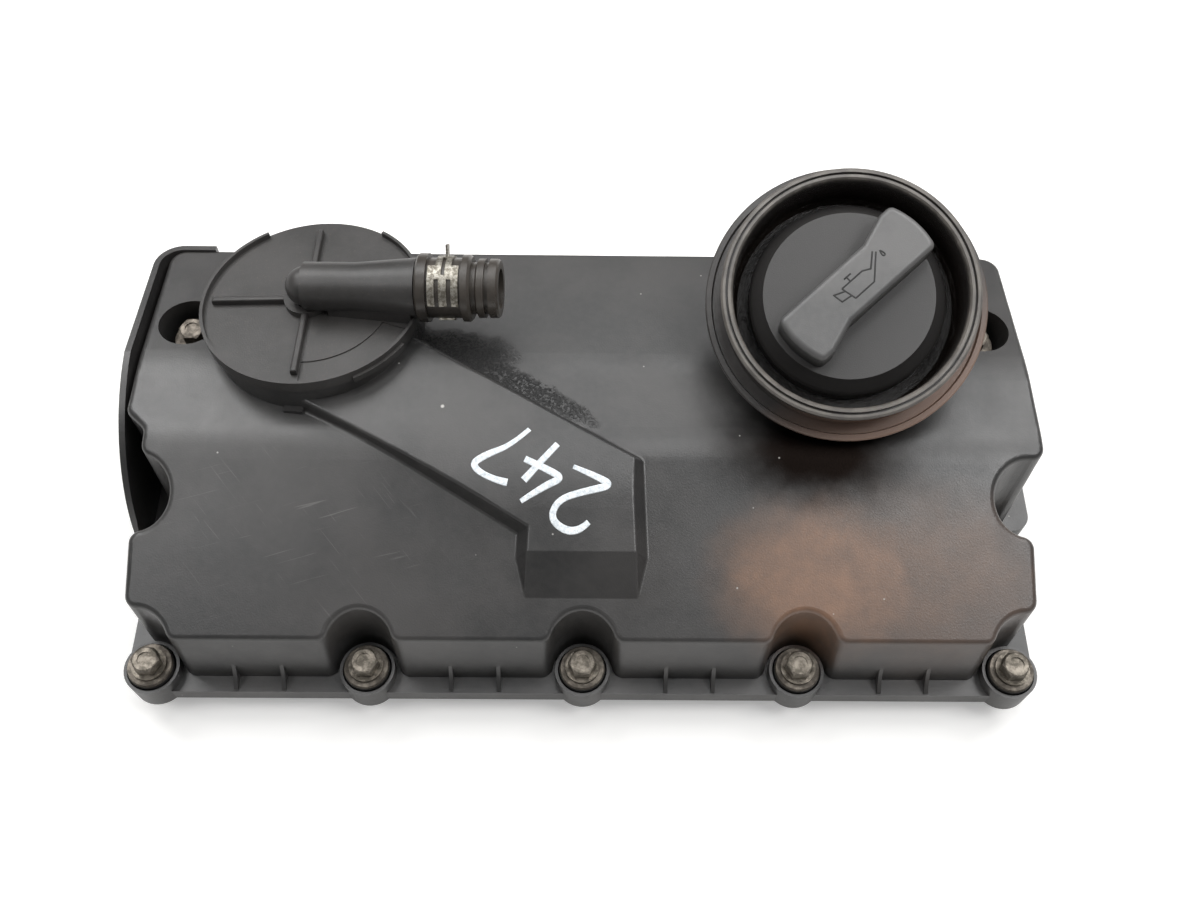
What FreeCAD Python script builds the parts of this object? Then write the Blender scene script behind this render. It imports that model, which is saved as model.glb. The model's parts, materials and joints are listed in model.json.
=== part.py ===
import FreeCAD, Part
import math
import os

# Four-cylinder valve cover, moulded in glass-filled nylon, with its filler neck,
# breather valve and captive bolts. Lengths are in millimetres, angles in degrees.
# Origin: centre of the rectangle of four head bolts, on the cover's sealing plane.
# +X runs along the front bolt row, +Y to the rear, +Z up.

V = FreeCAD.Vector
UP = V(0, 0, 1)

# Bolt layout
bolt_pitch = 88.0
front_bolts = 5
bolt_row_y = 97.5
row_half = (front_bolts - 1) / 2 * bolt_pitch
end_bolt_x = row_half + 3.5
end_bolt_y = -41.0
pocket_bolt_y = 37.7
pocket_bolt_rise = 38.0

# Moulded wall and flange
wall = 3.0
flange_t = 8.0
ledge = 6.7
front_wall_y = -bolt_row_y - 1.5
front_draft = 6.8
rear_wall_y = bolt_row_y - 6.5
rear_draft = 9.8
lobe_half_x = row_half + 5.0
body_half_x = lobe_half_x + 6.0
end_draft = 1.0
flange_half_x = body_half_x + 11.5
flange_step_y = -30.0
flange_corner_r = 8.0
rear_corner_r = 8.0
cusp_r = 5.0
top_edge_r = 2.6

# Scallops in the wall, one round each bolt
scallop_r = 12.6
scallop_draft = 2.0

# Relief beside the left scallop, where the end wall stands back from the rim
relief_x = lobe_half_x - 2.5
relief_front_y = -15.5
relief_rear_y = -7.5
relief_r = 5.0

# Top of the cover, seen from its end
crown_z = 69.5
crown_front_y = -22.0
crown_rear_y = 15.7
front_slope = 21.5
rear_slope = 9.0
crown_front_r = 40.0
crown_rear_r = 80.0

# Pockets over the two rear corner bolts
pocket_bolt_x = body_half_x - 18.0
pocket_r = 12.7
tower_wall = 2.5
tower_foot_r = 9.0
tower_bore_r = 4.6

# Bolt cups and what sits in them
cup_r = 11.25
cup_bore_r = 10.0
cup_rim_z = 14.0
cup_floor_z = 5.0
cup_hole_r = 7.3
bolt_r = 3.0
bolt_tip_z = -14.0
bolt_tip_chamfer = 1.0
bolt_thread_top = -1.2
bolt_waist_r = 2.65
hex_af = 10.0
hex_h = 5.5
bolt_flange_r = 7.0
bolt_flange_h = 1.4
washer_r = 9.2
washer_h = 1.6
washer_bore_r = 3.3
grommet_r = 9.7
grommet_waist_r = 8.6
grommet_h = 10.2
sleeve_r = 4.2
sleeve_wall = 1.0
fit_gap = 0.1
foot_gap = 0.3

# Stiffening gussets on the front ledge, in pairs
gusset_t = 1.6
gusset_spread = 9.75
gusset_top_z = 27.0

# Seal in the flange
seal_w = 3.0
seal_h = 4.4
seal_proud = 1.0
seal_inset = -1.2

# Arched rim at the left end
rim_t = 2.6
rim_gap = 2.0
rim_x = -body_half_x - rim_gap - rim_t
arch_y = 27.9
arch_z = -1.5
arch_r = 72.0
rim_proud = 1.2
rim_corner_r = 12.0
rim_rear_y = rear_wall_y - 7.0
rim_end_x = rim_x + 25.6
rim_web_t = 2.0
rim_web_top_z = 46.0
rim_webs = (8.0, 46.0)

# Breather valve and raised duct on the top
vent_x = -body_half_x + 73.2
duct_h = 8.0
duct_lean = 30.0
duct_right_x = 20.8
duct_left_x = -22.0
duct_front_y = -65.6
duct_front_slope = 44.0
duct_front_foot_y = -80.8
duct_front_flare = 0.9
duct_lower_lean = 12.0
duct_crest_y = -34.0
duct_crest_r = 120.0
duct_upper = ((vent_x + 42.1, 24.0), (duct_right_x, -30.9))
duct_lower = ((vent_x + 5.9, -9.6), (duct_left_x - 0.6, -55.9))
duct_back_x = vent_x - 11.2
duct_edge_r = 1.4
duct_foot_r = 1.5

# Breather valve housing, its axis leaning to the rear
vent_y = 39.1
vent_z = 80.0
vent_tilt = 7.0
vent_azimuth = 112.0
vent_wall_r = 44.8
vent_wall = 2.4
vent_floor = -19.0
vent_ledge = -9.0
vent_ledge_w = 4.2
vent_port_r = 5.0
vent_port_x = 24.0
vent_tab_w = 8.0
vent_tab_reach = 2.6
vent_tab_top = -14.0
vent_tab_angle = -95.6

# Breather valve cap
vent_cap_r = 46.3
vent_cap_t = 2.6
vent_rim_h = 2.4
vent_rim_w = 1.3
rim_gap_start = 56.0
rim_gap_end = 122.0
step_r = 33.0
step_depth = 0.5
step_start = -90.0
step_end = -22.0
cap_bulge = 1.3
cap_bulge_start = -62.0
cap_bulge_end = -31.0
rib_w = 2.6
rib_h = 2.8
rib_edge_r = 0.8
rib_reach = 40.0
hub_x = -1.7
hub_r = 9.6
hub_h = 3.0
stem_r = 9.0
stem_bore_r = 6.8
stem_end = -10.0

# Breather nozzle, lying along the cap, and its coupling
nozzle_h = 9.6
nozzle_y = -0.6
nozzle_turn = -2.6
nozzle_start = -0.7
nozzle_r = 8.2
nozzle_end_r = 12.2
nozzle_web_start = 9.0
nozzle_web_w = 7.6
nozzle_web_end_w = 11.4
nozzle_bore_r = 6.8
nozzle_shy = 0.2
nozzle_len = vent_cap_r - nozzle_start - nozzle_shy
spigot_r = 10.0
spigot_len = 14.0
coupling_gap = 0.6
coupling_len = 33.4
coupling_ring_r = 14.0
coupling_ring_w = 4.4
coupling_waist_r = 12.2
coupling_waist_w = 14.2
coupling_collar_r = 13.6
coupling_collar_w = 3.6
lip_end_r = 12.0
lip_end_w = 3.6
lip_neck_r = 10.5
lip_neck_w = 1.8
mouth_r = 8.1
o_ring_wire = 0.85
clip_t = 0.8
clip_w = 6.4
clip_start = -60.0
clip_end = 256.0
clip_plate_start = 178.0
clip_plate_w = 12.4
clip_slot_start = 206.0
clip_slot_w = 1.8
clip_slot_offset = 2.48
clip_slit_start = 152.0
clip_slit_end = 198.0
clip_slit_w = 1.5
clip_ear_angle = 138.0
clip_ear_h = 4.6
clip_ear_w = 5.0

# Diaphragm, plate and spring under the valve cap
plate_r = 13.0
plate_t = 2.0
plate_drop = 4.2
diaphragm_t = 0.9
diaphragm_bead = 1.9
diaphragm_fold = 4.0
spring_wire = 0.8
spring_r = 10.6
spring_turns = 3.5

# Filler neck, on an axis leaning to the front
collar_x = body_half_x - 83.5
collar_y = 22.4
collar_z = 112.0
collar_tilt = 22.2
collar_azimuth = -103.0
neck_r = 30.0
neck_bore_r = 25.0
neck_rim = -19.0
neck_root = -75.0
neck_foot_w = 4.0
neck_foot_t = 1.8

# Collar round the filler cap
lip_r = 45.9
lip_outer_r = 50.5
lip_groove_w = 1.0
lip_groove_depth = 2.0
collar_wall = 2.2
collar_flange_r = 56.3
collar_flange = -17.0
gutter_depth = 1.6
gutter_rim = 2.4
collar_floor = -23.0
collar_sleeve_end = -31.0

# Filler cap
cap_face_r = 34.5
cap_face = -5.3
cap_skirt_r = 38.8
cap_skirt_end = -20.5
cap_shoulder = -12.0
cap_wall = 2.4
grip_top = 8.0
grip_half_w = 9.6
grip_flare_w = 14.0
grip_reach = 33.5
grip_angle = 41.0
grip_edge_r = 2.4
grip_shift_x = 1.6
grip_shift_y = 1.4
grip_corner_r = 3.0
insert_r = 24.2
insert_plate_r = 31.0
insert_end = -38.0
insert_hub_r = 28.0
lug_h = 0.5
lug_w = 5.0
lugs = 3
lug_span = 40.0
cap_seal_h = 3.0
cap_seal_r = 29.6

# Oil separator inside the cover, under the duct and the valve
separator_z = 40.0
separator_t = 2.4
separator_wall = 2.2
separator_reach_left = 38.2
separator_reach_right = 51.8
separator_left = vent_x - separator_reach_left
separator_right = vent_x + separator_reach_right
separator_outline = (
    (separator_left, -16.0), (vent_x + 5.8, -20.0), (-34.0, -60.0), (-34.0, -78.0),
    (30.0, -78.0), (30.0, -20.0), (separator_right, 34.0), (separator_right, 70.0),
    (separator_left, 70.0),
)
drain_x = vent_x + 23.8
drain_y = 10.0
drain_r = 5.0
drain_bore_r = 3.4
drain_h = 14.0
inlet_x = (-8.0, 4.0, 16.0)
inlet_y = -50.0
inlet_w = 4.0
inlet_l = 26.0
inner_rib_off = 48.5
inner_rib_x = (bolt_pitch / 2, collar_x + inner_rib_off)
inner_rib_t = 2.0
inner_rib_h = 9.0

# Reach of the tools that cut right through
FAR = 260.0
HIGH = 160.0


def tan(angle):
    return math.tan(math.radians(angle))


def polar(r, angle, z=0.0):
    return V(r * math.cos(math.radians(angle)), r * math.sin(math.radians(angle)), z)


def lean(tilt, azimuth):
    flat = polar(math.sin(math.radians(tilt)), azimuth)
    return V(flat.x, flat.y, math.cos(math.radians(tilt)))


def line(a, b):
    return Part.LineSegment(a, b).toShape()


def arc(a, mid, b):
    return Part.Arc(a, mid, b).toShape()


def corner(before, point, after, r):
    """Start, middle and end of the arc that rounds a corner."""
    a = (before - point).normalize()
    b = (after - point).normalize()
    half = a.getAngle(b) / 2
    bisector = (a + b).normalize()
    centre = point + bisector * (r / math.sin(half))
    reach = r / math.tan(half)
    return point + a * reach, centre - bisector * r, point + b * reach


class Outline:
    """A chain of lines and arcs drawn from point to point."""

    def __init__(self):
        self.edges = []
        self.points = []

    def go(self, point):
        if self.points:
            self.edges.append(line(self.points[-1], point))
        self.points.append(point)

    def bend(self, mid, end):
        self.edges.append(arc(self.points[-1], mid, end))
        self.points.append(end)

    def closed(self):
        self.edges.append(line(self.points[-1], self.points[0]))
        return Part.Wire(self.edges)


def outline(corners, radii=None):
    """Closed outline through the corners, each rounded to its radius."""
    count = len(corners)
    pen = Outline()
    for i, point in enumerate(corners):
        r = radii[i] if radii else 0.0
        if r > 0:
            start, mid, end = corner(corners[i - 1], point, corners[(i + 1) % count], r)
            pen.go(start)
            pen.bend(mid, end)
        else:
            pen.go(point)
    return pen.closed()


def prism(points, z0, z1, radii=None):
    """Upright prism on a plan outline given as (x, y) pairs."""
    wire = outline([V(x, y, z0) for x, y in points], radii)
    return Part.Face(wire).extrude(V(0, 0, z1 - z0))


def side_prism(points, x0, x1, radii=None):
    """Prism along X on an end view given as (y, z) pairs."""
    wire = outline([V(x0, y, z) for y, z in points], radii)
    return Part.Face(wire).extrude(V(x1 - x0, 0, 0))


def turned(profile):
    """Solid turned round Z from (r, z) pairs."""
    corners = [V(r, 0, z) for r, z in profile]
    face = Part.Face(Part.makePolygon(corners + corners[:1]))
    return face.revolve(V(0, 0, 0), UP, 360)


def tube(r_out, r_in, z0, z1):
    return turned([(r_in, z0), (r_out, z0), (r_out, z1), (r_in, z1)])


def rod(r, z0, z1):
    return Part.makeCylinder(r, z1 - z0, V(0, 0, z0))


def box(x0, x1, y0, y1, z0, z1):
    return Part.makeBox(x1 - x0, y1 - y0, z1 - z0, V(x0, y0, z0))


def sector(r, start, end, z0, z1):
    """Wedge of a disc between two angles."""
    wedge = Part.makeCylinder(r, z1 - z0, V(0, 0, z0), UP, end - start)
    wedge.rotate(V(0, 0, 0), UP, start)
    return wedge


def at(shape, x, y, z=0.0):
    moved = shape.copy()
    moved.translate(V(x, y, z))
    return moved


def spun(shape, angle):
    moved = shape.copy()
    moved.rotate(V(0, 0, 0), UP, angle)
    return moved


def joined(shapes):
    return shapes[0].multiFuse(shapes[1:]).removeSplitter()


def placed(shape, placement):
    moved = shape.copy()
    moved.Placement = placement.multiply(moved.Placement)
    return moved


def place_on(x, y, z, direction):
    return FreeCAD.Placement(V(x, y, z), FreeCAD.Rotation(UP, direction))


VENT = place_on(vent_x, vent_y, vent_z, lean(vent_tilt, vent_azimuth))
COLLAR = place_on(collar_x, collar_y, collar_z, lean(collar_tilt, collar_azimuth))
NOZZLE_AXIS = polar(1.0, nozzle_turn)
NOZZLE = VENT.multiply(place_on(nozzle_start, nozzle_y, nozzle_h, NOZZLE_AXIS))


def front_bolt_x():
    first = -(front_bolts - 1) / 2 * bolt_pitch
    return [first + i * bolt_pitch for i in range(front_bolts)]


def rear_bolt_x():
    return front_bolt_x()[1:-1]


def flange_bolt_places():
    front = [(x, -bolt_row_y) for x in front_bolt_x()]
    rear = [(x, bolt_row_y) for x in rear_bolt_x()]
    return front + rear + [(-end_bolt_x, end_bolt_y), (end_bolt_x, end_bolt_y)]


def pocket_bolt_places():
    return [(-pocket_bolt_x, pocket_bolt_y), (pocket_bolt_x, pocket_bolt_y)]


def cusp(centre, scallop, wall_point, inward, along, r):
    """Rounding between a wall and a scallop: wall end, middle and scallop end."""
    depth = (centre - wall_point).dot(inward)
    offset = math.sqrt((scallop + r) ** 2 - (r - depth) ** 2)
    rounding = centre + along * offset + inward * (r - depth)
    to_scallop = (centre - rounding).normalize()
    middle = rounding + (to_scallop - inward).normalize() * r
    return rounding - inward * r, middle, rounding + to_scallop * r


def draw_scallop(pen, centre, scallop, near, far):
    """Wall, rounding, scallop, rounding and wall again, from near to far."""
    pen.go(near[0])
    pen.bend(near[1], near[2])
    middle = ((near[2] - centre) + (far[2] - centre)).normalize()
    pen.bend(centre + middle * scallop, far[2])
    pen.bend(far[1], far[0])


def body_outline(z, inset, at_flange=False):
    """Plan outline of the wall at height z, moved inwards by inset."""
    rise = z - flange_t
    front = front_wall_y + rise * tan(front_draft) + inset
    rear = rear_wall_y - rise * tan(rear_draft) - inset
    lobe = lobe_half_x - rise * tan(end_draft) - inset
    half = body_half_x - rise * tan(end_draft) - inset
    relief = relief_x - rise * tan(end_draft) - inset
    scallop = scallop_r + rise * tan(scallop_draft) + inset
    r = cusp_r - inset
    pen = Outline()
    xs = front_bolt_x()
    for x in xs:
        centre = V(x, -bolt_row_y, z)
        near = cusp(centre, scallop, V(0, front, z), V(0, 1, 0), V(-1, 0, 0), r)
        far = cusp(centre, scallop, V(0, front, z), V(0, 1, 0), V(1, 0, 0), r)
        if x == xs[0]:
            near = cusp(centre, scallop, V(-lobe, 0, z), V(1, 0, 0), V(0, 1, 0), r)
        if x == xs[-1]:
            far = cusp(centre, scallop, V(lobe, 0, z), V(-1, 0, 0), V(0, 1, 0), r)
        draw_scallop(pen, centre, scallop, near, far)

    # Right end: scallop, then a shelf out to the wider rear part
    centre = V(end_bolt_x, end_bolt_y, z)
    near = cusp(centre, scallop, V(lobe, 0, z), V(-1, 0, 0), V(0, -1, 0), r)
    shelf_y = end_bolt_y + scallop
    pen.go(near[0])
    pen.bend(near[1], near[2])
    pen.bend(centre - V(scallop, 0, 0), V(end_bolt_x, shelf_y, z))
    shelf_corner = V(half, shelf_y, z)
    start, mid, end = corner(pen.points[-1], shelf_corner, V(half, rear, z), r)
    pen.go(start)
    pen.bend(mid, end)

    # Rear wall, round the rear bolts at flange level
    rear_r = rear_corner_r - inset
    right = V(half, rear, z)
    left = V(-half, rear, z)
    start, mid, end = corner(shelf_corner, right, left, rear_r)
    pen.go(start)
    pen.bend(mid, end)
    if at_flange:
        for x in reversed(rear_bolt_x()):
            centre = V(x, bolt_row_y, z)
            near = cusp(centre, scallop, right, V(0, -1, 0), V(1, 0, 0), r)
            far = cusp(centre, scallop, right, V(0, -1, 0), V(-1, 0, 0), r)
            draw_scallop(pen, centre, scallop, near, far)

    # Left end: the wall steps back to the relief, then the scallop
    slope = V(body_half_x - relief_x, relief_front_y - relief_rear_y, 0).normalize()
    across = V(-slope.y, slope.x, 0)
    on_slope = V(-body_half_x, relief_rear_y, z) + across * inset
    outer = on_slope + slope * ((-half - on_slope.x) / slope.x)
    inner = on_slope + slope * ((-relief - on_slope.x) / slope.x)
    for before, point, after, radius in (
        (right, left, outer, rear_r),
        (left, outer, inner, relief_r - inset),
        (outer, inner, V(-relief, end_bolt_y, z), relief_r + inset),
    ):
        start, mid, end = corner(before, point, after, radius)
        pen.go(start)
        pen.bend(mid, end)
    centre = V(-end_bolt_x, end_bolt_y, z)
    near = cusp(centre, scallop, V(-relief, 0, z), V(1, 0, 0), V(0, 1, 0), r)
    far = cusp(centre, scallop, V(-lobe, 0, z), V(1, 0, 0), V(0, -1, 0), r)
    draw_scallop(pen, centre, scallop, near, far)
    return pen.closed()


def top_z(y):
    """Height of the cover's top at y, its creases left sharp."""
    if y < crown_front_y:
        return crown_z + (y - crown_front_y) * tan(front_slope)
    if y > crown_rear_y:
        return crown_z - (y - crown_rear_y) * tan(rear_slope)
    return crown_z


def under_top(drop):
    """Everything below the cover's top, lowered by drop."""
    reach = bolt_row_y + 4 * cup_r
    points = [
        (-reach, -HIGH),
        (reach, -HIGH),
        (reach, top_z(reach) - drop),
        (crown_rear_y, crown_z - drop),
        (crown_front_y, crown_z - drop),
        (-reach, top_z(-reach) - drop),
    ]
    radii = [0.0, 0.0, 0.0, crown_rear_r, crown_front_r, 0.0]
    return side_prism(points, -FAR, FAR, radii)


def hull(inset):
    """The cover's outer form, or its cavity when inset is the wall."""
    low = body_outline(flange_t, inset)
    high = body_outline(crown_z + 10, inset)
    return Part.makeLoft([low, high], True, True).common(under_top(inset))


def is_top_edge(edge, faces):
    """True for the upper edges between the wall and the top."""
    for point in edge.discretize(3):
        gap = min(face.distToShape(Part.Vertex(point))[0] for face in faces)
        if gap > 0.01:
            return False
    return edge.BoundBox.XLength < lobe_half_x or abs(edge.BoundBox.Center.y) > rear_wall_y / 2


def rounded_hull():
    body = hull(0.0)
    faces = under_top(0.0).Faces
    edges = [edge for edge in body.Edges if is_top_edge(edge, faces)]
    return body.makeFillet(top_edge_r, edges)


def rear_scallops(extra, z0, z1):
    return [at(rod(scallop_r + extra, z0, z1), x, bolt_row_y) for x in rear_bolt_x()]


def cavity():
    """Space inside the wall, from below the flange up to the top."""
    mouth = Part.Face(body_outline(flange_t, wall, True)).extrude(V(0, 0, -2 * flange_t))
    upper = hull(wall).cut(joined(rear_scallops(wall, flange_t, HIGH)))
    return upper.fuse(mouth)


def flange_plate():
    front = front_wall_y - ledge
    rear = rear_wall_y + ledge
    narrow = lobe_half_x + ledge
    points = [
        (-narrow, front), (narrow, front), (narrow, flange_step_y), (flange_half_x, flange_step_y),
        (flange_half_x, rear), (-flange_half_x, rear), (-flange_half_x, flange_step_y),
        (-narrow, flange_step_y),
    ]
    r = flange_corner_r
    return prism(points, 0, flange_t, [r, r, 0.0, r, r, r, r, 0.0])


def wall_plane(start, end, leaning):
    """Solid on the outer side of a leaning wall that runs from start to end."""
    along = (end - start).normalize()
    outward = along.cross(UP).normalize()
    rise = UP * math.cos(math.radians(leaning)) - outward * math.sin(math.radians(leaning))
    normal = along.cross(rise).normalize()
    block = Part.makeBox(2 * FAR, 2 * FAR, FAR, V(-FAR, -FAR, 0))
    return placed(block, FreeCAD.Placement(start, FreeCAD.Rotation(UP, normal)))


def duct_profile(drop):
    """Everything below the duct's top, lowered by drop."""
    reach = bolt_row_y + 4 * cup_r
    rise = duct_h - drop
    points = [
        (-reach, -HIGH),
        (reach, -HIGH),
        (reach, top_z(reach) + rise),
        (crown_rear_y, crown_z + rise),
        (duct_crest_y, top_z(duct_crest_y) + rise),
        (-reach, top_z(-reach) + rise),
    ]
    radii = [0.0, 0.0, 0.0, crown_rear_r, duct_crest_r, 0.0]
    return side_prism(points, -FAR, FAR, radii)


def on_duct(x, y):
    """Point on the duct's top, its crest left sharp."""
    crest_z = top_z(duct_crest_y)
    if duct_crest_y < y < crown_rear_y:
        part = (y - duct_crest_y) / (crown_rear_y - duct_crest_y)
        return V(x, y, crest_z + (crown_z - crest_z) * part + duct_h)
    return V(x, y, top_z(y) + duct_h)


def duct(inset, depth):
    """Raised duct on the cover's top, from depth below it, its walls moved in by inset."""
    upper_left, upper_right = [on_duct(x, y) for x, y in duct_upper]
    lower_left, lower_right = [on_duct(x, y) for x, y in duct_lower]
    right = [on_duct(duct_right_x, duct_front_y), on_duct(duct_right_x, crown_front_y)]
    left = [on_duct(duct_left_x, crown_front_y), on_duct(duct_left_x, duct_front_y)]
    fall = (duct_front_y - duct_front_foot_y) * tan(duct_front_slope)
    foot_z = right[0].z - fall
    right_foot = V(duct_right_x + duct_front_flare, duct_front_foot_y, foot_z)
    left_foot = V(duct_left_x - duct_front_flare, duct_front_foot_y, foot_z)
    front = [on_duct(duct_left_x, duct_front_y), on_duct(duct_right_x, duct_front_y)]

    def walls(block, runs):
        for start, end, leaning in runs:
            inward = (end - start).cross(UP).normalize() * -inset
            block = block.cut(wall_plane(start + inward, end + inward, leaning))
        return block

    branch = walls(
        box(duct_back_x, body_half_x, -FAR, FAR, 0, HIGH),
        [
            (upper_right, upper_left, duct_lean),
            (lower_left, lower_right, duct_lower_lean),
            (right[0], right[1], duct_lean),
            (front[0], front[1], 90 - duct_front_slope),
            (right_foot, right[0], duct_lean),
        ],
    )
    tail = walls(
        box(-body_half_x, body_half_x, -FAR, lower_right.y + duct_h, 0, HIGH),
        [
            (right[0], right[1], duct_lean),
            (left[0], left[1], duct_lean),
            (front[0], front[1], 90 - duct_front_slope),
            (right_foot, right[0], duct_lean),
            (left[1], left_foot, duct_lean),
        ],
    )
    return joined([branch, tail]).common(duct_profile(inset)).cut(under_top(depth))


def rounded_duct():
    """The duct with its upper edges and corners broken."""
    body = duct(0.0, wall / 2)
    edges = []
    for edge in body.Edges:
        centre = edge.CenterOfMass
        crease = edge.BoundBox.YLength < 0.01 and centre.y > duct_front_y + 1
        if centre.z > top_z(centre.y) + 1 and centre.x > duct_back_x + 1 and not crease:
            edges.append(edge)
    return body.makeFillet(duct_edge_r, edges)


def body_with_duct():
    """Cover body and duct in one, with a fillet round the duct's foot."""
    raised = rounded_duct()
    body = joined([rounded_hull(), raised])
    faces = under_top(0.0).Faces
    edges = []
    for edge in [edge for edge in body.Edges if not edge.Degenerated]:
        points = [Part.Vertex(point) for point in edge.discretize(3)]
        on_raised = max(raised.distToShape(point)[0] for point in points) < 0.01
        on_top = max(min(face.distToShape(point)[0] for face in faces) for point in points) < 0.01
        if on_raised and on_top:
            edges.append(edge)
    return body.makeFillet(duct_foot_r, edges)


def arched_rim():
    """Thin upright rim at the left end, arched over the camshaft end."""
    inner_x = rim_x + rim_t
    inner_y = rim_rear_y - rim_t
    front = arch_y - arch_r - 1
    points = [
        (rim_x, front), (inner_x, front), (inner_x, inner_y), (rim_end_x, inner_y),
        (rim_end_x, rim_rear_y), (rim_x, rim_rear_y),
    ]
    r = rim_corner_r
    strip = prism(points, 0, HIGH, [0.0, 0.0, r - rim_t, 0.0, 0.0, r])
    arch = Part.makeCylinder(arch_r, 2 * FAR, V(-FAR, arch_y, arch_z), V(1, 0, 0))
    keep = joined([arch, box(-FAR, FAR, arch_y, FAR, -HIGH, HIGH)])
    webs = [
        box(inner_x - 1, -body_half_x + wall, y, y + rim_web_t, 0, rim_web_top_z)
        for y in rim_webs
    ]
    rim = strip.common(under_top(-rim_proud)).common(keep)
    return joined([rim] + webs)


def gusset(x):
    """Thin triangular stiffener between the front wall and the ledge."""
    wall_y = front_wall_y + (gusset_top_z - flange_t) * tan(front_draft)
    edge_y = front_wall_y - ledge + 0.6
    root_y = front_wall_y + wall
    low = flange_t - 1
    top = V(x, wall_y, gusset_top_z)
    foot = V(x, edge_y, flange_t + 1)
    mid = V(x, wall_y + (edge_y - wall_y) * 0.32, flange_t + (gusset_top_z - flange_t) * 0.36)
    edges = [
        line(V(x, edge_y, low), V(x, root_y, low)),
        line(V(x, root_y, low), V(x, root_y, gusset_top_z)),
        line(V(x, root_y, gusset_top_z), top),
        arc(top, mid, foot),
        line(foot, V(x, edge_y, low)),
    ]
    return at(Part.Face(Part.Wire(edges)).extrude(V(gusset_t, 0, 0)), -gusset_t / 2, 0)


def gussets():
    shapes = []
    xs = front_bolt_x()
    for left, right in zip(xs, xs[1:]):
        middle = (left + right) / 2
        shapes.append(gusset(middle - gusset_spread))
        shapes.append(gusset(middle + gusset_spread))
    return shapes


def towers():
    """Columns that carry the pockets of the rear corner bolts."""
    floor = cup_floor_z + pocket_bolt_rise
    shapes = []
    for x, y in pocket_bolt_places():
        head = at(rod(pocket_r + tower_wall, pocket_bolt_rise, HIGH), x, y)
        shapes.append(head.common(under_top(wall / 2)))
        shapes.append(at(rod(tower_foot_r, 0, floor), x, y))
    return shapes


def pocket_cuts():
    floor = cup_floor_z + pocket_bolt_rise
    cuts = []
    for x, y in pocket_bolt_places():
        cuts.append(at(rod(pocket_r, floor, HIGH), x, y))
        cuts.append(at(rod(cup_hole_r, pocket_bolt_rise, HIGH), x, y))
        cuts.append(at(rod(tower_bore_r, -1, HIGH), x, y))
    return cuts


def separator_skirt(space):
    """Wall that hangs from the cover's top round the oil separator."""
    top = separator_z + separator_t
    outer = Part.Face(outline([V(x, y, top) for x, y in separator_outline]))
    inner_wire = outer.OuterWire.makeOffset2D(-separator_wall)
    ring = outer.cut(Part.Face(inner_wire)).extrude(V(0, 0, HIGH - top))
    return ring.common(space)


def inner_ribs(space):
    lowered = under_top(wall + inner_rib_h)
    shapes = []
    for x in inner_rib_x:
        half = inner_rib_t / 2
        slab = box(x - half, x + half, -bolt_row_y, bolt_row_y, flange_t, HIGH)
        shapes.append(slab.common(space).cut(lowered))
    return shapes


def vent_housing():
    """Round housing of the breather valve, solid."""
    body = rod(vent_wall_r, vent_floor - vent_wall, -vent_cap_t)
    half = vent_tab_w / 2
    reach = vent_wall_r + vent_tab_reach
    tab = box(0, reach, -half, half, vent_floor - vent_wall, vent_tab_top)
    tab = spun(tab, vent_tab_angle)
    return placed(joined([body, tab]), VENT)


def vent_space():
    """Hollow of the breather valve housing, with its port to the separator."""
    upper = rod(vent_wall_r - vent_wall, vent_ledge, vent_rim_h + 1)
    lower = rod(vent_wall_r - vent_wall - vent_ledge_w, vent_floor, vent_rim_h + 1)
    port = at(rod(vent_port_r, vent_floor - 2 * vent_wall, 0), -vent_port_x, 0)
    return placed(joined([upper, lower, port]), VENT)


def cover_shell():
    space = cavity()
    solid = [body_with_duct(), flange_plate(), arched_rim()]
    solid += gussets()
    cups = [at(rod(cup_r, 0, cup_rim_z), x, y) for x, y in flange_bolt_places()]
    shell = joined(solid)
    shell = shell.cut(joined(rear_scallops(0.0, flange_t, HIGH)))
    shell = shell.fuse(cups)
    shell = shell.cut(space.fuse(duct(wall * 0.9, wall + 1)))
    shell = shell.fuse([separator_skirt(space)] + inner_ribs(space) + towers())
    shell = shell.cut(joined(pocket_cuts()))
    shell = shell.fuse(vent_housing())
    shell = shell.cut(vent_space())
    shell = shell.cut(placed(rod(neck_r, neck_root, 1), COLLAR))
    holes = []
    for x, y in flange_bolt_places():
        holes.append(at(rod(cup_bore_r, cup_floor_z, 3 * cup_rim_z), x, y))
        holes.append(at(rod(cup_hole_r, -1, 3 * cup_rim_z), x, y))
    shell = shell.cut(joined(holes))
    shell = shell.cut(seal_ring(fit_gap, seal_h - seal_proud + fit_gap, -1.0))
    return shell.removeSplitter()


def filler_neck():
    """Leaning neck, its foot welded in the cover's top by a flange that lies on it."""
    body = placed(rod(neck_r, neck_root, neck_rim), COLLAR).cut(under_top(wall))
    foot = placed(rod(neck_r + neck_foot_w, neck_root, neck_rim), COLLAR)
    foot = foot.common(under_top(-neck_foot_t)).cut(under_top(0.0))
    neck = joined([body, foot])
    return neck.cut(placed(rod(neck_bore_r, neck_root - 1, 1), COLLAR))


def seal_ring(gap, top, bottom):
    """Band that follows the wall, with a gap added on each side."""
    outer = Part.Face(body_outline(flange_t, seal_inset - gap, True))
    inner = Part.Face(body_outline(flange_t, seal_inset + seal_w + gap, True))
    band = at(outer.cut(inner), 0, 0, bottom - flange_t)
    return band.extrude(V(0, 0, top - bottom))


def cover_gasket():
    return seal_ring(0.0, seal_h - seal_proud, -seal_proud)


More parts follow.
